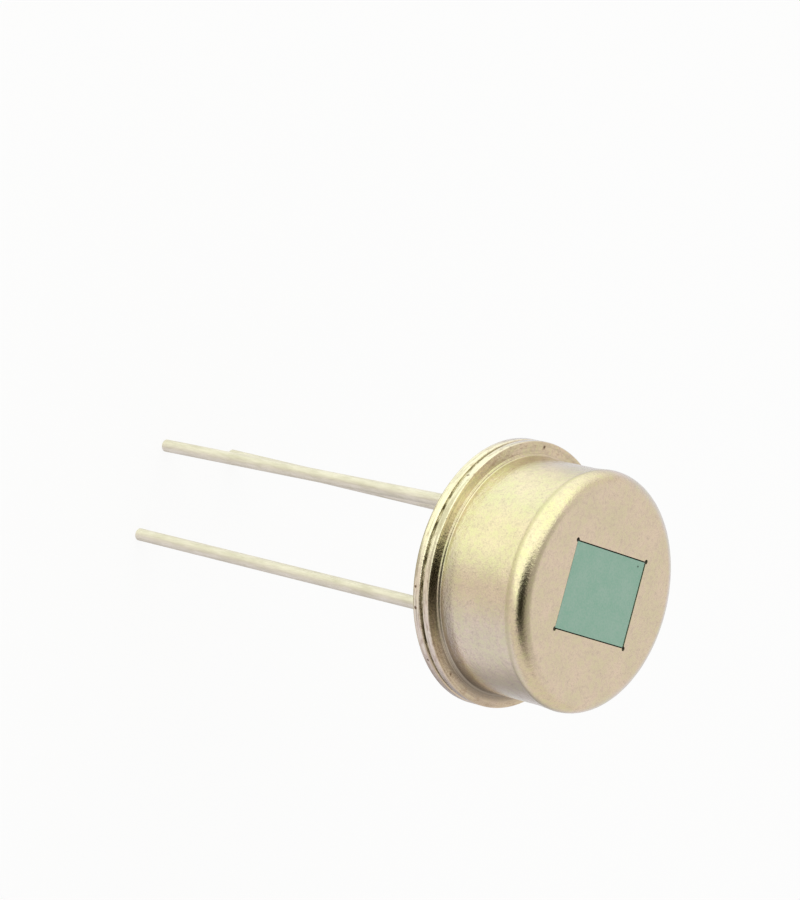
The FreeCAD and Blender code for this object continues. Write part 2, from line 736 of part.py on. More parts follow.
def make_resistor():
    chip = block("gate_resistor",
                 "(Sizes.resistor_width - 2 * Sizes.resistor_cap_thickness)",
                 "(Sizes.resistor_length - 2 * Sizes.resistor_cap_thickness)",
                 "(Sizes.resistor_height - 2 * Sizes.resistor_cap_thickness)",
                 RESISTOR_ACROSS, "0",
                 "%s - Sizes.resistor_height + Sizes.resistor_cap_thickness" % UNDER_TRACKS)
    low = "%s - Sizes.resistor_height" % UNDER_TRACKS
    caps = []
    for name, sign in (("gate", -1), ("ground", 1)):
        cap = doc.addObject("Part::Cut", "resistor_cap_" + name)
        cap.Base = block("resistor_cap_%s_outside" % name, "Sizes.resistor_width",
                         "Sizes.resistor_cap_length", "Sizes.resistor_height",
                         RESISTOR_ACROSS, signed(sign, RESISTOR_CAP_ALONG), low)
        cap.Tool = chip
        caps.append(cap)
    return [chip] + caps


pieces = [make_can(), make_filter(), make_bead(), make_header(), make_ground_braze()]
for lead_name in LEADS:
    pieces.append(make_lead(lead_name))
    pieces.append(make_solder_joint(lead_name))
for lead_name in ("drain", "source"):
    pieces.append(make_glass_seal(lead_name))
pieces.append(make_substrate())
pieces.append(make_tracks("upper_tracks", BOARD_TOP, UPPER_RUNS))
pieces.append(make_tracks("lower_tracks", UNDER_TRACKS, LOWER_RUNS))
pieces.append(make_via())
for side_name, side_sign in (("left", -1), ("right", 1)):
    pieces.append(make_support(side_name, side_sign))
    pieces.append(make_electrode(side_name, side_sign))
pieces.append(make_element())
pieces.append(make_transistor_body())
pieces.append(make_transistor_leg("drain", -1, "-" + LEG_ALONG))
pieces.append(make_transistor_leg("source", -1, LEG_ALONG))
pieces.append(make_transistor_leg("gate", 1, "0"))
pieces.extend(make_resistor())
doc.recompute()

for member in doc.Objects:
    if "Invalid" in member.State or "Error" in member.State:
        raise RuntimeError("%s is %s" % (member.Name, member.State))
for piece in pieces:
    if piece.Shape.isNull() or not piece.Shape.isValid() or piece.Shape.Volume <= 0:
        raise RuntimeError(piece.Label + " has no good shape")
for piece in pieces:
    piece.Shape.exportStep("parts/%s.step" % piece.Label)
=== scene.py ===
"""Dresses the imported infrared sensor: fine metal forms for the can, the header, the leads and
their seals, finishes for every piece, and the stage with its camera."""

import math

import bmesh
import bpy
from bpy.props import FloatProperty, FloatVectorProperty, IntProperty, PointerProperty
from mathutils import Matrix, Vector, noise


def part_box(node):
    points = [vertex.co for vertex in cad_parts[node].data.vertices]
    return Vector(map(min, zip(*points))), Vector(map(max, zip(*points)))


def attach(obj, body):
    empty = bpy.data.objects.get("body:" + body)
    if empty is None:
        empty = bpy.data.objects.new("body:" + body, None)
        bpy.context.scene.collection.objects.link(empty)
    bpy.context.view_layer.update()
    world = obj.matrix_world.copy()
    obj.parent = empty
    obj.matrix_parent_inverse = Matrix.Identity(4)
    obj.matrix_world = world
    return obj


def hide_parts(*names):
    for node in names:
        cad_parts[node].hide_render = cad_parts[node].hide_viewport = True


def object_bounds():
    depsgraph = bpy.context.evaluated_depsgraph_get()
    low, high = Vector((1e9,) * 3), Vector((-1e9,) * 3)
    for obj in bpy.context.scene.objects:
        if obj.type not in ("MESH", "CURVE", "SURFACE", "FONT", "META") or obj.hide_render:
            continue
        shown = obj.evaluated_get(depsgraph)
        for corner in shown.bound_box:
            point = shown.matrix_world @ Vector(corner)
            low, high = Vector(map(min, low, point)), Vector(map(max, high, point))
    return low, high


bl_info = {
    "name": "Infrared sensor in a metal can",
    "version": (1, 0, 0),
    "blender": (4, 5, 0),
    "location": "3D View > Sidebar > Sensor",
    "description": "Fine forms, finishes and a stage for the packed infrared sensor",
    "category": "Object",
}

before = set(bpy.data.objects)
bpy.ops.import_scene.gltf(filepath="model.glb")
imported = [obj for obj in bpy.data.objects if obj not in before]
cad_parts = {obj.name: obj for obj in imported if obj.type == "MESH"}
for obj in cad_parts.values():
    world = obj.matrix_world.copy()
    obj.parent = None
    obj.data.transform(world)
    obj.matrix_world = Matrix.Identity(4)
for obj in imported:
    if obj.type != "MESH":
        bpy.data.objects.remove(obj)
cad_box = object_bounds()

MM = 0.001

# Corners closer than this count as one, and a ring's corners lie this close to its place
SAME = 1e-7
NEAR = 1e-6

# The plain strip that stays between a flat region's ring and the rounding beside it
HOLD = 0.05 * MM

# Faces that meet at a larger angle than this keep a crisp edge
CRISP = math.radians(32)


def node_size(node, axis):
    """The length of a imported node's box along an axis, in metres."""
    low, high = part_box(node)
    return high[axis] - low[axis]


# Sizes and colours that a user would change

def length(name, description, default, largest=0.02):
    """A length in metres."""
    return FloatProperty(name=name, description=description, default=default, min=0.0,
                         max=largest, precision=5, subtype="DISTANCE", unit="LENGTH")


def colour(name, description, default):
    """A linear colour."""
    return FloatVectorProperty(name=name, description=description, default=default, size=3,
                               min=0.0, max=1.0, subtype="COLOR")


def share(name, description, default):
    """A number from nothing to one."""
    return FloatProperty(name=name, description=description, default=default, min=0.0,
                         max=1.0, subtype="FACTOR")


class CanSizes(bpy.types.PropertyGroup):
    height: length("Height", "From the board to the face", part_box("can")[1][2])
    barrel_radius: length("Barrel radius", "Outside of the straight wall", 4.05 * MM)
    flare: length("Flare", "How far the wall swells below the face edge", 0.05 * MM)
    flare_low: length("Flare start", "Height at which the wall starts to swell", 2.9 * MM)
    flare_high: length("Flare end", "Height at which the wall is widest", 3.67 * MM)
    lip: length("Lip height", "The crisp upper part of the flare", 0.11 * MM)
    lip_share: share("Lip share", "How much of the flare the lip makes", 0.3)
    flange_radius: length("Flange radius", "Outside of the welding flange",
                          node_size("can", 1) / 2)
    flange_low: length("Flange underside", "Height of the flange's underside",
                       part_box("can")[0][2])
    sheet: length("Sheet", "Thickness of the drawn sheet", 0.27 * MM)
    face_edge: length("Face edge radius", "Outer radius between wall and face", 0.58 * MM)
    root: length("Root radius", "Outer radius between wall and flange", 0.045 * MM)
    foot: length("Foot spread", "How far the wall spreads above the flange", 0.03 * MM)
    foot_high: length("Foot height", "Height at which the wall starts to spread", 1.2 * MM)
    coin: length("Coined step height", "Step round the wall's foot", 0.065 * MM)
    coin_width: length("Coined step width", "Step round the wall's foot", 0.105 * MM)
    coin_edge: length("Coined step rounding", "Of the step's edge and foot", 0.028 * MM)
    inner_root: length("Inner root radius", "Where the bore meets the flange", 0.39 * MM)
    rim: length("Rim radius", "Rounding of the flange's rim", 0.035 * MM)
    window_length: length("Window length", "Along X", 3.88 * MM)
    window_width: length("Window width", "Along Y", 3.0 * MM)
    relief: length("Corner relief radius", "Round relief at each window corner", 0.078 * MM)
    steps: IntProperty(name="Steps", description="Steps round the can", default=224,
                       min=24, max=512)


class HeaderSizes(bpy.types.PropertyGroup):
    flange_thickness: length("Flange thickness", "Of the base's flange", 0.32 * MM)
    ridge_inside: length("Weld ridge inside", "Radius", 4.25 * MM)
    ridge_outside: length("Weld ridge outside", "Radius, with the metal pressed out of the weld",
                          4.47 * MM)
    ridge_waves: length("Weld waves", "How uneven the weld's outside is", 0.06 * MM)
    pedestal: length("Pedestal radius", "The raised middle inside the can", 3.66 * MM)
    deck: length("Deck height", "Top of the raised middle", 0.82 * MM)
    lead_in: length("Pedestal lead-in", "Bevel that guides the can", 0.1 * MM)
    eyelet: length("Eyelet radius", "Hole for a glass seal", 0.65 * MM)
    ground_hole: length("Ground hole radius", "Hole for the brazed lead", 0.31 * MM)
    tab_width: length("Tab width", "Index tab", 0.8 * MM)
    rim: length("Rim radius", "Rounding of the flange's rim", 0.06 * MM)


class LeadSizes(bpy.types.PropertyGroup):
    radius: length("Wire radius", "Of the round wire", 0.225 * MM)
    circle: length("Lead circle radius", "Circle on which the leads stand", 2.54 * MM)
    bend_depth: length("Bend depth", "Below the header's underside", 0.6 * MM)
    reach: length("Length", "Below the header's underside", 15.46 * MM, 0.05)
    tip: length("Tip radius", "Rounding of the cut end", 0.09 * MM)
    rows: IntProperty(name="Rows", description="Rings along the wire", default=64, min=4, max=400)


class SealSizes(bpy.types.PropertyGroup):
    gap: length("Gap", "Left beside the wire and the hole", 0.01 * MM)
    glass_sag: length("Glass hollow", "How far the glass draws back between its walls", 0.06 * MM)
    braze_sag: length("Braze hollow", "How far the braze draws back from the seat", 0.03 * MM)


class Finishes(bpy.types.PropertyGroup):
    nickel: colour("Nickel plate", "Can", (0.78, 0.72, 0.60))
    header_nickel: colour("Header plate", "Base", (0.78, 0.72, 0.61))
    stain: colour("Stain", "Specks and tarnish on the flange", (0.20, 0.14, 0.10))
    tin: colour("Tinned wire", "Leads", (0.83, 0.79, 0.74))
    filter_coat: colour("Filter coating", "Window", (0.293, 0.468, 0.374))
    epoxy: colour("Epoxy", "Bead round the filter", (0.018, 0.016, 0.013))
    seal_glass: colour("Seal glass", "Round two leads", (0.045, 0.075, 0.07))
    braze: colour("Braze", "Round the ground lead", (0.66, 0.58, 0.40))


class StageSizes(bpy.types.PropertyGroup):
    lens: FloatProperty(name="Lens", description="Focal length in millimetres", default=140.0)
    floor_share: share("Shadow share", "How much of the floor is lit as plain paper", 0.15)


# Shader expressions

class Level:
    """A number in a shader, which takes the usual signs of arithmetic."""

    def __init__(self, finish, socket):
        self.finish = finish
        self.socket = socket

    def _math(self, operation, *values):
        return self.finish.add("ShaderNodeMath", {"operation": operation},
                               dict(enumerate(values))).level()

    def __add__(self, other):
        return self._math("ADD", self, other)

    def __sub__(self, other):
        return self._math("SUBTRACT", self, other)

    def __mul__(self, other):
        return self._math("MULTIPLY", self, other)

    def __truediv__(self, other):
        return self._math("DIVIDE", self, other)

    def __pow__(self, other):
        return self._math("POWER", self, other)

    def __radd__(self, other):
        return self._math("ADD", other, self)

    def __rsub__(self, other):
        return self._math("SUBTRACT", other, self)

    def __rmul__(self, other):
        return self._math("MULTIPLY", other, self)

    def __rtruediv__(self, other):
        return self._math("DIVIDE", other, self)

    def most(self, other):
        return self._math("MAXIMUM", self, other)

    def least(self, other):
        return self._math("MINIMUM", self, other)

    def clipped(self):
        return self.most(0.0).least(1.0)

    def between(self, low, high):
        """Nothing at low, one at high, with a soft start and end."""
        return self.finish.add(
            "ShaderNodeMapRange", {"interpolation_type": "SMOOTHSTEP"},
            {"Value": self, "From Min": low, "From Max": high}).level()


class Added:
    """A node that was added, with its outputs."""

    def __init__(self, finish, node):
        self.finish = finish
        self.node = node

    def level(self, output=0):
        return Level(self.finish, self.node.outputs[output])

    def out(self, output=0):
        return self.node.outputs[output]


class Finish:
    """The nodes of a material or of the world."""

    def __init__(self, owner):
        owner.use_nodes = True
        self.owner = owner
        self.tree = owner.node_tree
        self.tree.nodes.clear()

    def add(self, kind, settings=None, values=None):
        """Adds a node, sets it up, and fills or links its sockets."""
        node = self.tree.nodes.new(kind)
        for name, setting in (settings or {}).items():
            setattr(node, name, setting)
        for name, given in (values or {}).items():
            socket = node.inputs[name]
            if isinstance(given, Level):
                given = given.socket
            if isinstance(given, bpy.types.NodeSocket):
                self.tree.links.new(given, socket)
            elif socket.type == "RGBA" and len(given) == 3:
                socket.default_value = (*given, 1.0)
            else:
                socket.default_value = given
        return Added(self, node)

    def place(self, scale=(1.0, 1.0, 1.0)):
        """The place on the piece, in millimetres times scale."""
        coordinates = self.add("ShaderNodeTexCoord").out("Object")
        return self.add("ShaderNodeMapping", {}, {
            "Vector": coordinates, "Scale": tuple(one / MM for one in scale)}).out()

    def vector(self, across, along, up):
        """A place put together from three numbers."""
        return self.add("ShaderNodeCombineXYZ", {}, {"X": across, "Y": along, "Z": up}).out()

    def noise(self, where, scale, detail, roughness):
        """Cloudy noise from about 0 to 1."""
        return self.add("ShaderNodeTexNoise", {}, {
            "Vector": where, "Scale": scale, "Detail": detail,
            "Roughness": roughness}).level("Fac")

    def cells(self, where, scale):
        """Distance to the nearest of scattered points, in cells."""
        return self.add("ShaderNodeTexVoronoi", {}, {
            "Vector": where, "Scale": scale}).level("Distance")

    def blend(self, factor, first, second):
        """A colour between two colours."""
        return self.add("ShaderNodeMix", {"data_type": "RGBA", "clamp_factor": True},
                        {0: factor, 6: first, 7: second}).out(2)

    def axes(self, vector):
        """The three parts of a vector."""
        parts = self.add("ShaderNodeSeparateXYZ", {}, {0: vector})
        return parts.level("X"), parts.level("Y"), parts.level("Z")

    def bump(self, height, distance, strength):
        """A normal that follows a height from 0 to 1; distance in metres."""
        return self.add("ShaderNodeBump", {}, {
            "Height": height, "Distance": distance, "Strength": strength}).out("Normal")

    def surface(self, values):
        """Ends the material in one Principled shader."""
        shader = self.add("ShaderNodeBsdfPrincipled", {}, values)
        self.add("ShaderNodeOutputMaterial", {}, {"Surface": shader.out()})
        return self.owner


def new_finish(name):
    return Finish(bpy.data.materials.new(name))


def toned(tone, red, green, blue):
    """A tone with its three parts multiplied."""
    return (tone[0] * red, tone[1] * green, tone[2] * blue)


# Where marks on the nickel start and are full, in millimetres. First by the reach from the axis
# Where the painted highlight on the rims starts and is full
RIM_HIGHLIGHT_REACH = (4.52, 4.56)
SEAM_RIM = (4.535, 4.545)
FLANGE_REACH = (4.12, 4.24)
# Where the painted shade in the wall's root corner ends
ROOT_SHADE_REACH = (4.2, 4.45)

# By the height
WALL_START = (0.66, 0.70)
FOOT_TOP = (0.95, 1.4)
BEND_TOP = (1.2, 1.5)
# Where the band of painted shade under the face edge starts and ends
LIP_SHADE_START = (3.56, 3.68)
LIP_SHADE_END = (3.70, 3.80)
DUSTY_FACE = (4.14, 4.24)
FLAT_FACE = (4.20, 4.245)

# By the way along +Y, and along -Y
# Painted light: on the +Y side, where light falls, the flange gets fewer dark grooves and the seam
# is brighter
LIT_SIDE = (0.5, 3.5)
LOW_SIDE = (-0.5, 4.2)
SHADED_SIDE = (-2.5, 3.8)
# Painted shade in the root corner on the -Y side
ROOT_SHADE_SIDE = (3.0, 4.0)

# Tones of these marks; some of them are painted highlight and painted shade
# Painted highlight on the rims
RIM_HIGHLIGHT = (0.96, 0.92, 0.86)
DUSTY = (0.98, 0.91, 1.0)
# Tone of the darker brown patches on the flange
PATCH_BROWN = (0.66, 0.55, 0.50)
SHADED = (0.40, 0.39, 0.41)
# Painted shade in the root corner
ROOT_SHADE = (0.24, 0.21, 0.19)
# Painted shade band under the face edge
LIP_SHADE = (0.52, 0.48, 0.32)
STREAKED = (0.42, 0.33, 0.25)
WELD_BRIGHT = (0.74, 0.70, 0.60)
WELD_DARK = (0.30, 0.27, 0.19)

# Height of the nickel's bump
NICKEL_GRAIN = 0.008 * MM


class NickelMarks:
    """Where the nickel's marks lie, and the noises that they share."""

    def __init__(self, finish):
        self.finish = finish
        self.here = finish.place()
        across, along, self.up = finish.axes(self.here)
        self.reach = (across * across + along * along) ** 0.5
        away = self.reach.most(0.05)
        turned = finish.vector(across / away * 2.2, along / away * 2.2,
                               (self.reach - self.up) * 9.0)
        running = finish.vector(across / away * 14.0, along / away * 14.0,
                                (self.reach * 0.7 + self.up) * 15.0)
        self.mottle = finish.noise(self.here, 1.1, 4.0, 0.6)
        self.cloud = finish.noise(self.here, 4.5, 3.0, 0.6)
        self.grain = finish.noise(self.here, 11.0, 3.0, 0.7)
        self.fine = finish.noise(self.here, 26.0, 2.0, 0.6)
        self.rings = finish.noise(turned, 1.0, 3.0, 0.6)
        self.dashes = finish.noise(running, 1.0, 2.0, 0.6)
        self.flange = self.reach.between(*FLANGE_REACH)
        # The +Y side, which is lightened as painted light
        self.lit_side = along.between(*LIT_SIDE)
        self.down = along * -1.0
        # Darker brown patches on the flange, mostly on its -Y side
        self.low_side_patches = (self.down.between(*LOW_SIDE) * 0.9 + self.mottle - 0.85
                        + (self.dashes - 0.5) * 0.9).between(0.0, 0.5)

    def plate(self, tone):
        """Mottled plate, with a painted highlight along the rims and faint dust on the face."""
        blend = self.finish.blend
        tint = ((self.grain - 0.5) * 2.0 + (self.cloud - 0.5) * 2.4 + (self.mottle - 0.5) * 2.4
                + 0.5)
        dust = ((self.cloud - 0.5) * 1.8 + (self.grain - 0.5) * 1.9 + (self.fine - 0.5) * 1.6
                + 0.24)
        shade = blend(tint.clipped(), toned(tone, 0.92, 0.955, 0.825),
                      toned(tone, 1.065, 0.98, 1.025))
        shade = blend(dust.clipped(), shade, toned(tone, 0.72, 0.71, 0.70))
        # Painted highlight: the rims are lightened to stand in for the bright line that they catch
        shade = blend(self.reach.between(*RIM_HIGHLIGHT_REACH) * 0.55, shade, RIM_HIGHLIGHT)
        return blend(self.up.between(*DUSTY_FACE) * 0.16, shade, DUSTY)

    def turned_flange(self, shade, tone):
        """Fine grooves round the flange, fewer on its +Y side as painted light, and darker brown
        patches on its lower side.
        """
        # Painted light: fewer dark grooves on the +Y side
        grooves = self.rings.between(0.48, 0.58) * self.flange * (0.8 - self.lit_side * 0.45)
        shade = self.finish.blend(grooves, shade, toned(tone, 0.62, 0.62, 0.62))
        return self.finish.blend(self.low_side_patches * self.flange * 0.5, shade, PATCH_BROWN)

    def shaded_wall(self, shade):
        """Painted shade at the wall's foot and in its root corner on the -Y side, and a band of
        painted shade under the face edge.
        """
        foot = (1.0 - self.up.between(*FOOT_TOP)) * self.up.between(*WALL_START)
        # Painted shade at the wall's foot on the -Y side
        foot_shade = foot * self.down.between(*SHADED_SIDE) * (1.0 - self.flange) * 0.7
        # Painted shade in the root corner on the -Y side, where the wall meets the flange
        root_shade = foot * self.down.between(*ROOT_SHADE_SIDE) * (1.0 - self.reach.between(*ROOT_SHADE_REACH))
        # Painted shade: a darker olive band under the face edge, standing in for the dark line
        # that the lip mirrors
        ring = self.up.between(*LIP_SHADE_START) * (1.0 - self.up.between(*LIP_SHADE_END))
        shade = self.finish.blend(foot_shade, shade, SHADED)
        shade = self.finish.blend(root_shade * 0.75, shade, ROOT_SHADE)
        return self.finish.blend(ring * 0.5, shade, LIP_SHADE)

    def soiled_flange(self, shade, stain, spots):
        """Brown streaks and specks on the flange, and spots at their own places."""
        streaks = self.dashes.between(0.52, 0.66) * self.cloud.between(0.40, 0.56)
        scattered = (1.0 - self.finish.cells(self.here, 1.4)).between(0.86, 0.92)
        specks = scattered * self.mottle.between(0.50, 0.56)
        for middle, radius in spots:
            away = self.finish.add("ShaderNodeVectorMath", {"operation": "DISTANCE"},
                                   {0: self.here, 1: middle}).level("Value")
            away = away + (self.fine - 0.5) * 0.06
            specks = specks.most(1.0 - away.between(radius * 0.6, radius * 1.3))
        shade = self.finish.blend(streaks * self.flange * 0.5, shade, STREAKED)
        return self.finish.blend(specks * self.flange, shade, stain)

    def seam(self, low, high):
        """One on the weld seam between two heights, and nothing beside it."""
        return (self.up.between(low - 0.004, low - 0.002)
                * (1.0 - self.up.between(high + 0.002, high + 0.004))
                * (1.0 - self.reach.between(*SEAM_RIM)))

    def weld(self):
        """The seam's dark weld tone, made brighter on its +Y side as painted light."""
        return self.finish.blend((self.dashes - self.lit_side * 0.16).between(0.40, 0.60),
                                 WELD_BRIGHT, WELD_DARK)


def nickel_plate(name, tone, stain, seam_low, seam_high, spots=()):
    """Satin nickel: warm mottled tone, grain, marks round the axis, darker brown patches by the
    seam, and painted highlight and painted shade.
    """
    finish = new_finish(name)
    marks = NickelMarks(finish)
    shade = marks.turned_flange(marks.plate(tone), tone)
    shade = marks.soiled_flange(marks.shaded_wall(shade), stain, spots)
    seam = marks.seam(seam_low, seam_high)
    bent = 1.0 - marks.up.between(*BEND_TOP)
    rough = (0.13 + marks.cloud * 0.06 + marks.grain * 0.07 - bent * 0.08
             + (marks.low_side_patches * marks.flange + seam) * 0.15)
    flat = marks.up.between(*FLAT_FACE)
    height = (marks.grain * (1.15 + marks.flange * 0.7 - flat * 0.55) + marks.fine * 0.45
              + marks.rings * (0.22 + marks.flange * 0.5) + marks.dashes * marks.flange * 0.5)
    return finish.surface({
        "Base Color": finish.blend(seam, shade, marks.weld()),
        "Metallic": 1.0,
        "Roughness": rough.clipped(),
        "Normal": finish.bump(height, NICKEL_GRAIN, 0.9),
    })


# Height of the wire's bump
WIRE_WAVES = 0.04 * MM


def tinned_wire(name, tone):
    """Dull dipped tin with slow waves and faint smudges along the wire."""
    finish = new_finish(name)
    here = finish.place()
    waves = finish.noise(finish.place((1.0, 1.0, 0.13)), 5.0, 3.0, 0.6)
    dents = finish.noise(finish.place((1.0, 1.0, 0.16)), 13.0, 2.0, 0.6)
    cloud = finish.noise(here, 1.1, 2.0, 0.5)
    grain = finish.noise(here, 22.0, 2.0, 0.6)
    worn = (waves - 0.5) * 1.8 + (dents - 0.5) * 1.4 + (cloud - 0.5) * 1.2 + 0.35
    return finish.surface({
        "Base Color": finish.blend(worn.clipped(), tone, toned(tone, 0.80, 0.80, 0.74)),
        "Metallic": 0.62,
        "Roughness": (0.34 + dents * 0.12 + grain * 0.1).clipped(),
        "Normal": finish.bump(waves * 0.5 + dents * 0.4 + grain * 0.1, WIRE_WAVES, 0.9),
    })


# Height of the filter's bump, and where its speck of dirt starts to fade and ends, in millimetres
FILTER_GRAIN = 0.002 * MM
SPECK_EDGE = (0.022, 0.042)
DIRT = (0.03, 0.04, 0.035)


def filter_coating(name, tone, speck):
    """Matte interference coating on silicon, faintly mottled, with one speck of dirt."""
    finish = new_finish(name)
    here = finish.place()
    across, along, _ = finish.axes(here)
    cloud = finish.noise(here, 2.0, 4.0, 0.6)
    grain = finish.noise(here, 14.0, 3.0, 0.7)
    blotch = (cloud - 0.5) * 1.2 + (grain - 0.5) * 2.4 + 0.5
    shade = finish.blend(blotch.clipped(), toned(tone, 0.84, 0.95, 0.92),
                         toned(tone, 1.16, 1.05, 1.10))
    off_x, off_y = across - speck[0], along - speck[1]
    away = (off_x * off_x + off_y * off_y) ** 0.5
    shade = finish.blend(1.0 - away.between(*SPECK_EDGE), shade, DIRT)
    return finish.surface({
        "Base Color": shade,
        "Roughness": 0.5 + grain * 0.15,
        "Specular IOR Level": 0.25,
        "Normal": finish.bump(grain, FILTER_GRAIN, 0.5),
    })


# Height of the bump on the smaller pieces
SMALL_GRAIN = 0.004 * MM


def plain_stuff(name, tone, rough, grain_scale=10.0, metallic=0.0):
    """A finish with mottled tone and grain for the smaller pieces."""
    finish = new_finish(name)
    here = finish.place()
    cloud = finish.noise(here, grain_scale * 0.25, 3.0, 0.6)
    grain = finish.noise(here, grain_scale, 3.0, 0.6)
    shade = finish.blend((cloud * 0.6 + grain * 0.4).between(0.3, 0.7),
                         toned(tone, 0.86, 0.86, 0.86),
                         tuple(min(one, 1.0) for one in toned(tone, 1.1, 1.1, 1.1)))
    return finish.surface({
        "Base Color": shade,
        "Metallic": metallic,
        "Roughness": (rough - 0.08 + grain * 0.16).clipped(),
        "Normal": finish.bump(grain, SMALL_GRAIN, 0.6),
    })


def seal_glass(name, tone):
    """Dark fused glass with tiny bubbles and a glossy skin."""
    finish = new_finish(name)
    here = finish.place()
    bubbles = finish.cells(here, 9.0).between(0.02, 0.12)
    cloud = finish.noise(here, 3.0, 3.0, 0.6)
    shade = finish.blend(cloud.between(0.3, 0.7), tone, toned(tone, 1.7, 1.7, 1.7))
    return finish.surface({
        "Base Color": shade,
        "Roughness": 0.06 + (1.0 - bubbles) * 0.15,
        "Coat Weight": 0.5,
        "Coat Roughness": 0.04,
        "Normal": finish.bump(bubbles, SMALL_GRAIN, 0.5),
    })


# Mesh helpers

def spun(mesh, outline, steps):
    """Spins an outline of radius and height pairs about Z into a skin."""
    corners = [mesh.verts.new((radius, 0.0, height)) for radius, height in outline]
    edges = [mesh.edges.new(pair) for pair in zip(corners, corners[1:])]
    bmesh.ops.spin(mesh, geom=corners + edges, cent=(0, 0, 0), axis=(0, 0, 1), dvec=(0, 0, 0),
                   angle=math.tau, steps=steps, use_merge=True, use_duplicate=False)


def ring_loop(mesh, radius, height, centre=(0.0, 0.0)):
    """The edges of a level ring about an upright axis."""

    def on_ring(vert):
        reach = math.hypot(vert.co.x - centre[0], vert.co.y - centre[1])
        return abs(reach - radius) < NEAR and abs(vert.co.z - height) < NEAR

    found = [edge for edge in mesh.edges if all(on_ring(vert) for vert in edge.verts)]
    if not found:
        raise RuntimeError("no ring of radius %g at height %g" % (radius, height))
    return found


def round_ring(mesh, radius, height, size, segments):
    """Rounds a level ring edge."""
    bmesh.ops.bevel(mesh, geom=ring_loop(mesh, radius, height), offset=size,
                    offset_type="OFFSET", segments=segments, profile=0.5, affect="EDGES",
                    clamp_overlap=False, material=-1)


def fill_flat(mesh, edges, up):
    """Fills the level region between closed loops of edges."""
    filled = bmesh.ops.triangle_fill(mesh, use_beauty=True, use_dissolve=False, edges=edges,
                                     normal=(0, 0, up))
    if not filled["geom"]:
        raise RuntimeError("a flat region stayed open")


def loop_verts(edges):
    """The corners of a closed loop of edges, in order."""
    left = set(edges)
    edge = edges[0]
    left.remove(edge)
    order = [edge.verts[0], edge.verts[1]]
    while left:
        edge = [link for link in order[-1].link_edges if link in left][0]
        left.remove(edge)
        order.append(edge.other_vert(order[-1]))
    return order[:-1]


def finished(mesh, name, material, replaced):
    """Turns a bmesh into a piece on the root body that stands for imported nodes."""
    bmesh.ops.remove_doubles(mesh, verts=mesh.verts, dist=SAME)
    bmesh.ops.recalc_face_normals(mesh, faces=mesh.faces)
    for face in mesh.faces:
        face.smooth = True
    for edge in mesh.edges:
        edge.smooth = len(edge.link_faces) == 2 and edge.calc_face_angle() < CRISP
    data = bpy.data.meshes.new(name)
    mesh.to_mesh(data)
    mesh.free()
    data.materials.append(material)
    piece = bpy.data.objects.new(name, data)
    bpy.context.scene.collection.objects.link(piece)
    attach(piece, "root")
    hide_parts(*replaced)
    return piece


def coat(node, material):
    """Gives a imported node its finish."""
    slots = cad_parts[node].data.materials
    if not len(slots):
        slots.append(material)
    for index in range(len(slots)):
        slots[index] = material


# Each lead's side of X and of Y, its lean in degrees and the bearing that it leans towards
LEADS = {"drain": (-1, -1, 0.6, -27.0), "source": (-1, 1, 1.5, -50.0), "ground": (1, 1, 0.6, 34.0)}


def lead_centre(name, circle):
    """Where a lead stands on the lead circle."""
    side = circle * math.sqrt(0.5)
    across, along = LEADS[name][:2]
    return across * side, along * side


# Pieces

# Where the filter carries a speck, in millimetres from its middle
FILTER_SPECK = (1.59, 1.27)

# Spots on the base's edge: the turn about the axis in degrees, and the height and the radius in
# millimetres
RIM_SPOTS = ((197.0, 0.12, 0.05), (206.0, 0.13, 0.06), (231.0, 0.2, 0.05))

# How far the index tab reaches into the flange, how much thinner it is, and its edges' rounding
TAB_OVERLAP = 0.2 * MM
TAB_THINNER = 0.02 * MM
TAB_EDGE = 0.04 * MM

# How fast the weld's waves follow each other
WAVE_PACE = 14.0


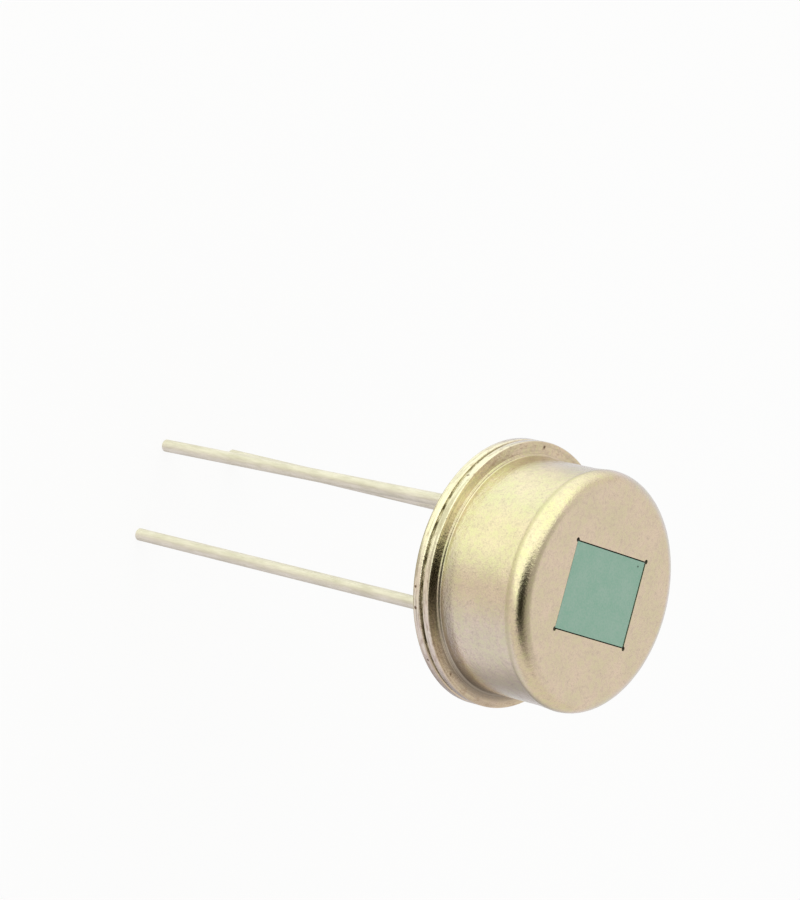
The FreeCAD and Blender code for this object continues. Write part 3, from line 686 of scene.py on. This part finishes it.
class SENSOR_OT_can(bpy.types.Operator):
    """Drawn can with rounded face edge, root bend, flange and punched window"""
    bl_idname = "sensor.can"
    bl_label = "Can"

    def execute(self, context):
        size = context.scene.sensor_can
        colours = context.scene.sensor_finishes
        bore = size.barrel_radius - size.sheet
        ceiling = size.height - size.sheet
        flange_top = size.flange_low + size.sheet
        coin_top = flange_top + size.coin
        coined = size.barrel_radius + size.coin_width
        foot = size.barrel_radius + size.foot
        widest = size.barrel_radius + size.flare
        face_ring = widest - size.face_edge - HOLD
        mesh = bmesh.new()
        spun(mesh, [
            (face_ring, size.height),
            (widest, size.height),
            *self.flare(size),
            *self.spread(size, coin_top + size.root + HOLD),
            (foot, coin_top),
            (coined, coin_top),
            (coined, flange_top),
            (size.flange_radius, flange_top),
            (size.flange_radius, size.flange_low),
            (bore, size.flange_low),
            (bore, ceiling),
            (face_ring, ceiling),
        ], size.steps)
        round_ring(mesh, widest, size.height, size.face_edge, 20)
        round_ring(mesh, foot, coin_top, size.root, 5)
        round_ring(mesh, coined, coin_top, size.coin_edge, 3)
        round_ring(mesh, coined, flange_top, size.coin_edge, 3)
        round_ring(mesh, size.flange_radius, flange_top, size.rim, 4)
        round_ring(mesh, size.flange_radius, size.flange_low, size.rim, 4)
        round_ring(mesh, bore, size.flange_low, size.inner_root, 6)
        round_ring(mesh, bore, ceiling, size.face_edge - size.sheet, 6)

        window = self.window_edges(mesh, size)
        fill_flat(mesh, ring_loop(mesh, face_ring, size.height) + window, 1)
        wall = bmesh.ops.extrude_edge_only(mesh, edges=window)["geom"]
        lower = [part for part in wall if isinstance(part, bmesh.types.BMVert)]
        bmesh.ops.translate(mesh, verts=lower, vec=(0, 0, -size.sheet))
        sill = [part for part in wall if isinstance(part, bmesh.types.BMEdge)
                and all(abs(vert.co.z - ceiling) < SAME for vert in part.verts)]
        fill_flat(mesh, ring_loop(mesh, face_ring, ceiling) + sill, -1)
        low = size.flange_low / MM
        material = nickel_plate("can nickel", tuple(colours.nickel), tuple(colours.stain),
                                low - 0.01, low)
        finished(mesh, "can_drawn", material, ["can"])
        return {"FINISHED"}

    @staticmethod
    def flare(size, rows=10):
        """The wall from its widest place below the face edge down to where it is straight."""
        foot = size.flare_high - size.lip
        heights = [size.flare_high - size.lip * row / rows for row in range(rows)]
        heights += [foot + (size.flare_low - foot) * row / rows for row in range(rows + 1)]

        def way(height, low):
            return min(1.0, (size.flare_high - height) / (size.flare_high - low))

        return [(size.barrel_radius + size.flare * (
            size.lip_share * (1.0 - way(height, foot))
            + (1.0 - size.lip_share) * (0.5 + 0.5 * math.cos(
                math.pi * way(height, size.flare_low)))), height)
            for height in heights]

    @staticmethod
    def spread(size, low, rows=8):
        """The lowest part of the wall, which spreads a little towards its foot."""
        return [(size.barrel_radius + size.foot * (1.0 - math.cos(math.pi / 2 * row / rows)),
                 size.foot_high + (low - size.foot_high) * row / rows)
                for row in range(rows + 1)]

    @staticmethod
    def window_edges(mesh, size):
        """The window's outline, with a round relief outside each corner."""
        half = Vector((size.window_length / 2, size.window_width / 2, size.height))
        edges = []
        ends = []
        for quarter, (across, along) in enumerate(((1, 1), (-1, 1), (-1, -1), (1, -1))):
            corner = Vector((across * half.x, along * half.y, half.z))
            turn = Matrix.Rotation(math.radians(90 * quarter - 90), 3, "Z")
            first = mesh.verts.new(corner + turn @ Vector((size.relief, 0, 0)))
            arc = bmesh.ops.spin(mesh, geom=[first], cent=corner, axis=(0, 0, 1),
                                 dvec=(0, 0, 0), angle=math.radians(270), steps=12,
                                 use_merge=False, use_duplicate=False)
            last = [part for part in arc["geom_last"] if isinstance(part, bmesh.types.BMVert)][0]
            ends.append((first, last))
            vert, walked = first, set()
            while vert is not last:
                edge = [link for link in vert.link_edges if link not in walked][0]
                walked.add(edge)
                edges.append(edge)
                vert = edge.other_vert(vert)
        for index, (first, last) in enumerate(ends):
            edges.append(mesh.edges.new((last, ends[(index + 1) % 4][0])))
        return edges


class SENSOR_OT_header(bpy.types.Operator):
    """Stamped base with weld ridge, pedestal, eyelets and index tab"""
    bl_idname = "sensor.header"
    bl_label = "Header"

    def execute(self, context):
        can = context.scene.sensor_can
        size = context.scene.sensor_header
        lead = context.scene.sensor_leads
        colours = context.scene.sensor_finishes
        floor_ring = can.flange_radius - size.rim - HOLD
        deck_ring = size.pedestal - size.lead_in - HOLD
        mesh = bmesh.new()
        spun(mesh, [
            (floor_ring, 0.0),
            (can.flange_radius, 0.0),
            (can.flange_radius, size.flange_thickness),
            (size.ridge_outside, size.flange_thickness),
            (size.ridge_outside, can.flange_low),
            (size.ridge_inside, can.flange_low),
            (size.ridge_inside, size.flange_thickness),
            (size.pedestal, size.flange_thickness),
            (size.pedestal, size.deck - size.lead_in),
            (size.pedestal - size.lead_in, size.deck),
            (deck_ring, size.deck),
        ], can.steps)
        self.wave(mesh, size, can.flange_low)
        round_ring(mesh, can.flange_radius, 0.0, size.rim, 4)
        round_ring(mesh, can.flange_radius, size.flange_thickness, size.rim, 4)
        under = ring_loop(mesh, floor_ring, 0.0)
        over = ring_loop(mesh, deck_ring, size.deck)
        for name in LEADS:
            centre = lead_centre(name, lead.circle)
            hole = size.ground_hole if name == "ground" else size.eyelet
            circle = bmesh.ops.create_circle(mesh, cap_ends=False, radius=hole, segments=64,
                                             matrix=Matrix.Translation((*centre, 0.0)))
            edges = list({edge for vert in circle["verts"] for edge in vert.link_edges})
            wall = bmesh.ops.extrude_edge_only(mesh, edges=edges)["geom"]
            upper = [part for part in wall if isinstance(part, bmesh.types.BMVert)]
            bmesh.ops.translate(mesh, verts=upper, vec=(0, 0, size.deck))
            under += edges
            over += ring_loop(mesh, hole, size.deck, centre)
        fill_flat(mesh, under, -1)
        fill_flat(mesh, over, 1)

        tab_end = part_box("header")[1][0]
        tab_start = can.flange_radius - TAB_OVERLAP
        tab = bmesh.ops.create_cube(mesh, size=1.0)["verts"]
        bmesh.ops.scale(mesh, verts=tab, vec=(tab_end - tab_start, size.tab_width,
                                              size.flange_thickness - TAB_THINNER))
        bmesh.ops.translate(mesh, verts=tab, vec=((tab_start + tab_end) / 2, 0.0,
                                                  size.flange_thickness / 2))
        sides = list({edge for vert in tab for edge in vert.link_edges})
        bmesh.ops.bevel(mesh, geom=sides, offset=TAB_EDGE, offset_type="OFFSET", segments=3,
                        profile=0.5, affect="EDGES", clamp_overlap=True, material=-1)
        material = nickel_plate("header nickel", tuple(colours.header_nickel),
                                tuple(colours.stain), size.flange_thickness / MM,
                                can.flange_low / MM, self.spots(can.flange_radius / MM))
        finished(mesh, "header_stamped", material, ["header"])
        return {"FINISHED"}

    @staticmethod
    def spots(rim):
        """Brown spots on the flange's edge, as their middle and radius in millimetres."""
        return [((rim * math.cos(math.radians(turn)), rim * math.sin(math.radians(turn)), up),
                 radius) for turn, up, radius in RIM_SPOTS]

    @staticmethod
    def wave(mesh, size, ridge_top):
        """Makes the outside of the weld ridge uneven, the same at its foot and its top."""
        for height in (size.flange_thickness, ridge_top):
            ring = {vert for edge in ring_loop(mesh, size.ridge_outside, height)
                    for vert in edge.verts}
            for vert in ring:
                way = Vector((vert.co.x, vert.co.y, 0.0)).normalized()
                swell = noise.fractal(way * WAVE_PACE, 1.0, 2.0, 3)
                vert.co += way * max(-1.0, min(1.0, swell)) * size.ridge_waves


class SENSOR_OT_leads(bpy.types.Operator):
    """Round tinned wires, each bent a little below the header"""
    bl_idname = "sensor.leads"
    bl_label = "Leads"

    def execute(self, context):
        size = context.scene.sensor_leads
        colours = context.scene.sensor_finishes
        material = tinned_wire("tinned wire", tuple(colours.tin))
        for name in LEADS:
            self.lead(name, size, material)
        return {"FINISHED"}

    @staticmethod
    def lead(name, size, material):
        """Draws one wire from its top down, ring by ring, with its bend and rounded tip."""
        lean, bearing = (math.radians(angle) for angle in LEADS[name][2:])
        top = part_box("lead_" + name)[1][2]
        across, along = lead_centre(name, size.circle)
        bend = Vector((across, along, -size.bend_depth))
        sideways = Vector((math.cos(bearing), math.sin(bearing), 0.0))
        way = sideways * math.sin(lean) + Vector((0, 0, -math.cos(lean)))
        hinge = Vector((0, 0, -1)).cross(sideways)
        mesh = bmesh.new()
        circle = bmesh.ops.create_circle(mesh, cap_ends=True, radius=size.radius, segments=40,
                                         matrix=Matrix.Translation((across, along, top)))
        edges = list({edge for vert in circle["verts"] for edge in vert.link_edges})

        def onwards(edges, shift, turn=0.0, about=None):
            grown = bmesh.ops.extrude_edge_only(mesh, edges=edges)["geom"]
            verts = [part for part in grown if isinstance(part, bmesh.types.BMVert)]
            bmesh.ops.translate(mesh, verts=verts, vec=shift)
            if turn:
                bmesh.ops.rotate(mesh, verts=verts, cent=about,
                                 matrix=Matrix.Rotation(turn, 3, hinge))
            held = set(verts)
            return [part for part in grown if isinstance(part, bmesh.types.BMEdge)
                    and all(vert in held for vert in part.verts)]

        straight = top + size.bend_depth
        edges = onwards(edges, Vector((0, 0, -straight)), lean / 2, bend)
        reach = size.reach - size.bend_depth
        for row in range(size.rows):
            edges = onwards(edges, way * (reach / size.rows),
                            lean / 2 if row == 0 else 0.0, bend + way * (reach / size.rows))
        mesh.faces.new(loop_verts(edges))
        bmesh.ops.bevel(mesh, geom=edges, offset=size.tip, offset_type="OFFSET", segments=5,
                        profile=0.5, affect="EDGES", clamp_overlap=True, material=-1)
        finished(mesh, "lead_%s_wire" % name, material, ["lead_" + name])


class SENSOR_OT_seals(bpy.types.Operator):
    """Fused glass round two leads and braze round the third, each drawn up its walls"""
    bl_idname = "sensor.seals"
    bl_label = "Seals"

    def execute(self, context):
        size = context.scene.sensor_seals
        header = context.scene.sensor_header
        wire = context.scene.sensor_leads.radius + size.gap
        colours = context.scene.sensor_finishes
        glass = seal_glass("seal glass", tuple(colours.seal_glass))
        for name in ("drain", "source"):
            node = "glass_seal_" + name
            low, high = (corner[2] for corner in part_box(node))
            wall = header.eyelet - size.gap
            self.seal(context, node, name, [
                *self.sag(wire, wall, low, size.glass_sag),
                *self.sag(wall, wire, high, -size.glass_sag),
            ], glass, "seal_glass")
        low, high = (corner[2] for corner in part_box("ground_braze"))
        wall = header.ground_hole - size.gap
        foot = (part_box("ground_braze")[1][0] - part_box("ground_braze")[0][0]) / 2
        braze = plain_stuff("braze", tuple(colours.braze), 0.3, 12.0, 1.0)
        self.seal(context, "ground_braze", "ground", [
            *self.sag(wire, wall, low, size.braze_sag),
            (wall, header.deck),
            *self.fillet(foot, wire, header.deck, high),
        ], braze, "braze")
        return {"FINISHED"}

    @staticmethod
    def sag(start, end, level, depth, rows=10):
        """A skin that clings to both its walls and draws back between them."""
        return [(start + (end - start) * row / rows,
                 level + depth * math.sin(math.pi * row / rows) ** 0.6)
                for row in range(rows + 1)]

    @staticmethod
    def fillet(foot, wire, level, top, rows=8):
        """A hollow fillet from its foot up the wire."""
        return [(foot + (wire - foot) * math.sin(math.pi / 2 * row / rows),
                 top + (level - top) * math.cos(math.pi / 2 * row / rows))
                for row in range(rows + 1)]

    @staticmethod
    def seal(context, node, lead, outline, material, slot):
        """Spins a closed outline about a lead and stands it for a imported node."""
        mesh = bmesh.new()
        spun(mesh, outline + outline[:1], 64)
        centre = lead_centre(lead, context.scene.sensor_leads.circle)
        bmesh.ops.translate(mesh, verts=mesh.verts, vec=(*centre, 0.0))
        finished(mesh, node + "_skin", material, [node])


class SENSOR_OT_window(bpy.types.Operator):
    """Finishes of the filter and the epoxy bead"""
    bl_idname = "sensor.window"
    bl_label = "Window"

    def execute(self, context):
        colours = context.scene.sensor_finishes
        coat("infrared_filter", filter_coating("filter coating", tuple(colours.filter_coat),
                                                FILTER_SPECK))
        coat("filter_adhesive", plain_stuff("dark epoxy", tuple(colours.epoxy), 0.45))
        return {"FINISHED"}


# Tone, roughness, grain, metallic share and nodes of each finish on the sealed board
BOARD_FINISHES = {
    "white alumina": ((0.80, 0.79, 0.74), 0.55, 8.0, 0.0, ["substrate"]),
    "fired silver": ((0.62, 0.60, 0.55), 0.38, 20.0, 1.0,
                     ["upper_tracks", "lower_tracks", "gate_via"]),
    "pyroelectric ceramic": ((0.62, 0.54, 0.36), 0.5, 9.0, 0.0, ["pyroelectric_element"]),
    "absorbing film": ((0.03, 0.03, 0.035), 0.5, 14.0, 0.6,
                       ["front_electrode_left", "front_electrode_right"]),
    "silver adhesive": ((0.42, 0.41, 0.39), 0.5, 16.0, 0.3,
                        ["element_support_left", "element_support_right"]),
    "solder": ((0.64, 0.64, 0.62), 0.25, 10.0, 1.0,
               ["solder_joint_drain", "solder_joint_source", "solder_joint_ground"]),
    "black moulding": ((0.02, 0.02, 0.022), 0.45, 15.0, 0.0, ["transistor_body"]),
    "chip coating": ((0.03, 0.035, 0.05), 0.4, 12.0, 0.0, ["gate_resistor"]),
    "tinned terminal": ((0.70, 0.68, 0.62), 0.33, 14.0, 1.0,
                        ["transistor_leg_drain", "transistor_leg_source", "transistor_leg_gate",
                         "resistor_cap_gate", "resistor_cap_ground"]),
}


class SENSOR_OT_board(bpy.types.Operator):
    """Finishes of the sealed board and what it carries"""
    bl_idname = "sensor.board"
    bl_label = "Board"

    def execute(self, context):
        for name, (tone, rough, grain, metallic, nodes) in BOARD_FINISHES.items():
            material = plain_stuff(name, tone, rough, grain, metallic)
            for node in nodes:
                coat(node, material)
        return {"FINISHED"}


# Stage

# The camera's place in metres, the directions of its right and its upper side, the width of its
# film in millimetres and the nearest distance that it sees in metres
CAMERA_PLACE = (-0.092030, -0.003659, 0.074221)
CAMERA_RIGHT = (0.622715, 0.260117, 0.737947)
CAMERA_UP = (-0.212322, 0.963912, -0.160599)
CAMERA_FILM = 36.0
CAMERA_NEAREST = 0.005

# The floor's half width and its drop below the leads' tips, in metres, and its paper's tone
FLOOR_HALF = 1.5
FLOOR_DROP = 0.02 * MM
PAPER = (0.98, 0.98, 0.98)
WHITE = (1.0, 1.0, 1.0)

# The lamp's place and width in metres, and its power in watts
LAMP_PLACE = (-0.08, 0.20, 0.16)
LAMP_WIDTH = 0.25
LAMP_POWER = 0.12

# Light from all round on what isn't shiny
ROOM_TONE = (0.78, 0.78, 0.77)

# What the metal reflects: a warm tone, then cards with their bearing and rise in degrees, the
# angles from their middle at which they start and are full, and their tone
STUDIO_TONE = (0.85, 0.77, 0.65)
STUDIO_CARDS = (
    (116, -15, 77, 26, (1.31, 1.36, 1.08)),
    (150, -44, 32, 6, (1.28, 1.30, 0.96)),
    (146, 28, 61, 50, (1.46, 1.50, 1.12)),
    (260, -36, 40, 3, (0.86, 0.82, 0.84)),
    (318, -42, 31, 8, (0.46, 0.43, 0.43)),
    (11, -22, 50, 4, (0.84, 0.84, 0.90)),
    (0, -90, 40, 20, (0.56, 0.52, 0.34)),
    (354, 73, 28, 4, (0.50, 0.47, 0.35)),
    (225, 62, 45, 12, (0.30, 0.27, 0.20)),
    (209, 52, 28, 21, (0.02, 0.018, 0.01)),
)


class SENSOR_OT_stage(bpy.types.Operator):
    """Pale floor, soft light, surroundings and camera"""
    bl_idname = "sensor.stage"
    bl_label = "Stage"

    def execute(self, context):
        size = context.scene.sensor_stage
        scene = context.scene
        scene.view_settings.view_transform = "Standard"
        self.camera(scene, size)
        self.floor(scene, size)
        self.surroundings(scene)
        self.lamp(scene)
        return {"FINISHED"}

    @staticmethod
    def camera(scene, size):
        data = bpy.data.cameras.new("camera")
        data.lens = size.lens
        data.sensor_width = CAMERA_FILM
        data.clip_start = CAMERA_NEAREST
        camera = bpy.data.objects.new("camera", data)
        scene.collection.objects.link(camera)
        right = Vector(CAMERA_RIGHT).normalized()
        up = (Vector(CAMERA_UP) - right * right.dot(Vector(CAMERA_UP))).normalized()
        axes = Matrix((right, up, right.cross(up))).transposed()
        camera.matrix_world = Matrix.Translation(CAMERA_PLACE) @ axes.to_4x4()
        scene.camera = camera

    @staticmethod
    def floor(scene, size):
        """Paper that shows white and keeps the shadow. It is clear from below, and metal doesn't
        mirror it."""
        mesh = bmesh.new()
        bmesh.ops.create_grid(mesh, x_segments=1, y_segments=1, size=FLOOR_HALF)
        bmesh.ops.translate(mesh, verts=mesh.verts, vec=(0, 0, cad_box[0][2] - FLOOR_DROP))
        data = bpy.data.meshes.new("floor")
        mesh.to_mesh(data)
        mesh.free()
        finish = new_finish("floor paper")
        seen = finish.add("ShaderNodeLightPath")
        straight = (seen.level("Is Camera Ray") + seen.level("Is Transmission Ray")
                    + seen.level("Is Glossy Ray")).clipped()
        paper = finish.add("ShaderNodeBsdfDiffuse", {}, {"Color": PAPER})
        white = finish.add("ShaderNodeEmission", {}, {"Color": WHITE, "Strength": 1.0})
        mixed = finish.add("ShaderNodeMixShader", {}, {
            0: straight * (1.0 - size.floor_share), 1: paper.out(), 2: white.out()})
        below = finish.add("ShaderNodeNewGeometry").level("Backfacing")
        clear = finish.add("ShaderNodeBsdfTransparent")
        one_sided = finish.add("ShaderNodeMixShader", {}, {
            0: below, 1: mixed.out(), 2: clear.out()})
        finish.add("ShaderNodeOutputMaterial", {}, {"Surface": one_sided.out()})
        data.materials.append(finish.owner)
        floor = bpy.data.objects.new("floor", data)
        scene.collection.objects.link(floor)
        floor.visible_glossy = False

    @staticmethod
    def surroundings(scene):
        """White for camera and transmission rays. Shiny metal sees a fixed studio instead, with
        lighter and darker cards before a warm tone."""
        world = bpy.data.worlds.new("studio")
        scene.world = world
        finish = Finish(world)
        way = finish.add("ShaderNodeTexCoord").out("Generated")

        tone = STUDIO_TONE
        for bearing, rise, far, near, card_tone in STUDIO_CARDS:
            turn, lift = math.radians(bearing), math.radians(rise)
            aim = (math.cos(lift) * math.cos(turn), math.cos(lift) * math.sin(turn),
                   math.sin(lift))
            facing = finish.add("ShaderNodeVectorMath", {"operation": "DOT_PRODUCT"},
                                {0: way, 1: aim}).level("Value")
            inside = facing.between(math.cos(math.radians(far)), math.cos(math.radians(near)))
            tone = finish.blend(inside, tone, card_tone)
        seen = finish.add("ShaderNodeLightPath")
        straight = (seen.level("Is Camera Ray") + seen.level("Is Transmission Ray")).clipped()
        diffuse = seen.level("Is Diffuse Ray")
        lit = finish.blend(diffuse, tone, ROOM_TONE)
        final = finish.blend(straight, lit, WHITE)
        sky = finish.add("ShaderNodeBackground", {}, {"Color": final, "Strength": 1.0})
        finish.add("ShaderNodeOutputWorld", {}, {"Surface": sky.out()})

    @staticmethod
    def lamp(scene):
        """A soft round lamp that the metal doesn't mirror."""
        data = bpy.data.lights.new("softbox", "AREA")
        data.shape = "DISK"
        data.size = LAMP_WIDTH
        data.energy = LAMP_POWER
        lamp = bpy.data.objects.new("softbox", data)
        scene.collection.objects.link(lamp)
        place = Vector(LAMP_PLACE)
        lamp.matrix_world = (Matrix.Translation(place)
                             @ place.to_track_quat("Z", "Y").to_matrix().to_4x4())
        lamp.visible_glossy = False
        lamp.visible_camera = False


OPERATORS = (SENSOR_OT_can, SENSOR_OT_header, SENSOR_OT_leads, SENSOR_OT_seals,
             SENSOR_OT_window, SENSOR_OT_board, SENSOR_OT_stage)


class SENSOR_PT_panel(bpy.types.Panel):
    """A button for each operator, and all sizes and colours"""
    bl_idname = "SENSOR_PT_panel"
    bl_label = "Sensor"
    bl_space_type = "VIEW_3D"
    bl_region_type = "UI"
    bl_category = "Sensor"

    def draw(self, context):
        for operator in OPERATORS:
            self.layout.operator(operator.bl_idname)
        for group in GROUPS:
            values = getattr(context.scene, group)
            for name in values.bl_rna.properties.keys():
                if name not in ("rna_type", "name"):
                    self.layout.prop(values, name)


GROUPS = {
    "sensor_can": CanSizes,
    "sensor_header": HeaderSizes,
    "sensor_leads": LeadSizes,
    "sensor_seals": SealSizes,
    "sensor_finishes": Finishes,
    "sensor_stage": StageSizes,
}


def register():
    for group, kind in GROUPS.items():
        bpy.utils.register_class(kind)
        setattr(bpy.types.Scene, group, PointerProperty(type=kind))
    for kind in OPERATORS + (SENSOR_PT_panel,):
        bpy.utils.register_class(kind)


def unregister():
    for kind in reversed(OPERATORS + (SENSOR_PT_panel,)):
        bpy.utils.unregister_class(kind)
    for group, kind in reversed(list(GROUPS.items())):
        delattr(bpy.types.Scene, group)
        bpy.utils.unregister_class(kind)


def main():
    """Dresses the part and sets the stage."""
    register()
    bpy.ops.sensor.can()
    bpy.ops.sensor.header()
    bpy.ops.sensor.leads()
    bpy.ops.sensor.seals()
    bpy.ops.sensor.window()
    bpy.ops.sensor.board()
    bpy.ops.sensor.stage()


if __name__ == "__main__":
    main()
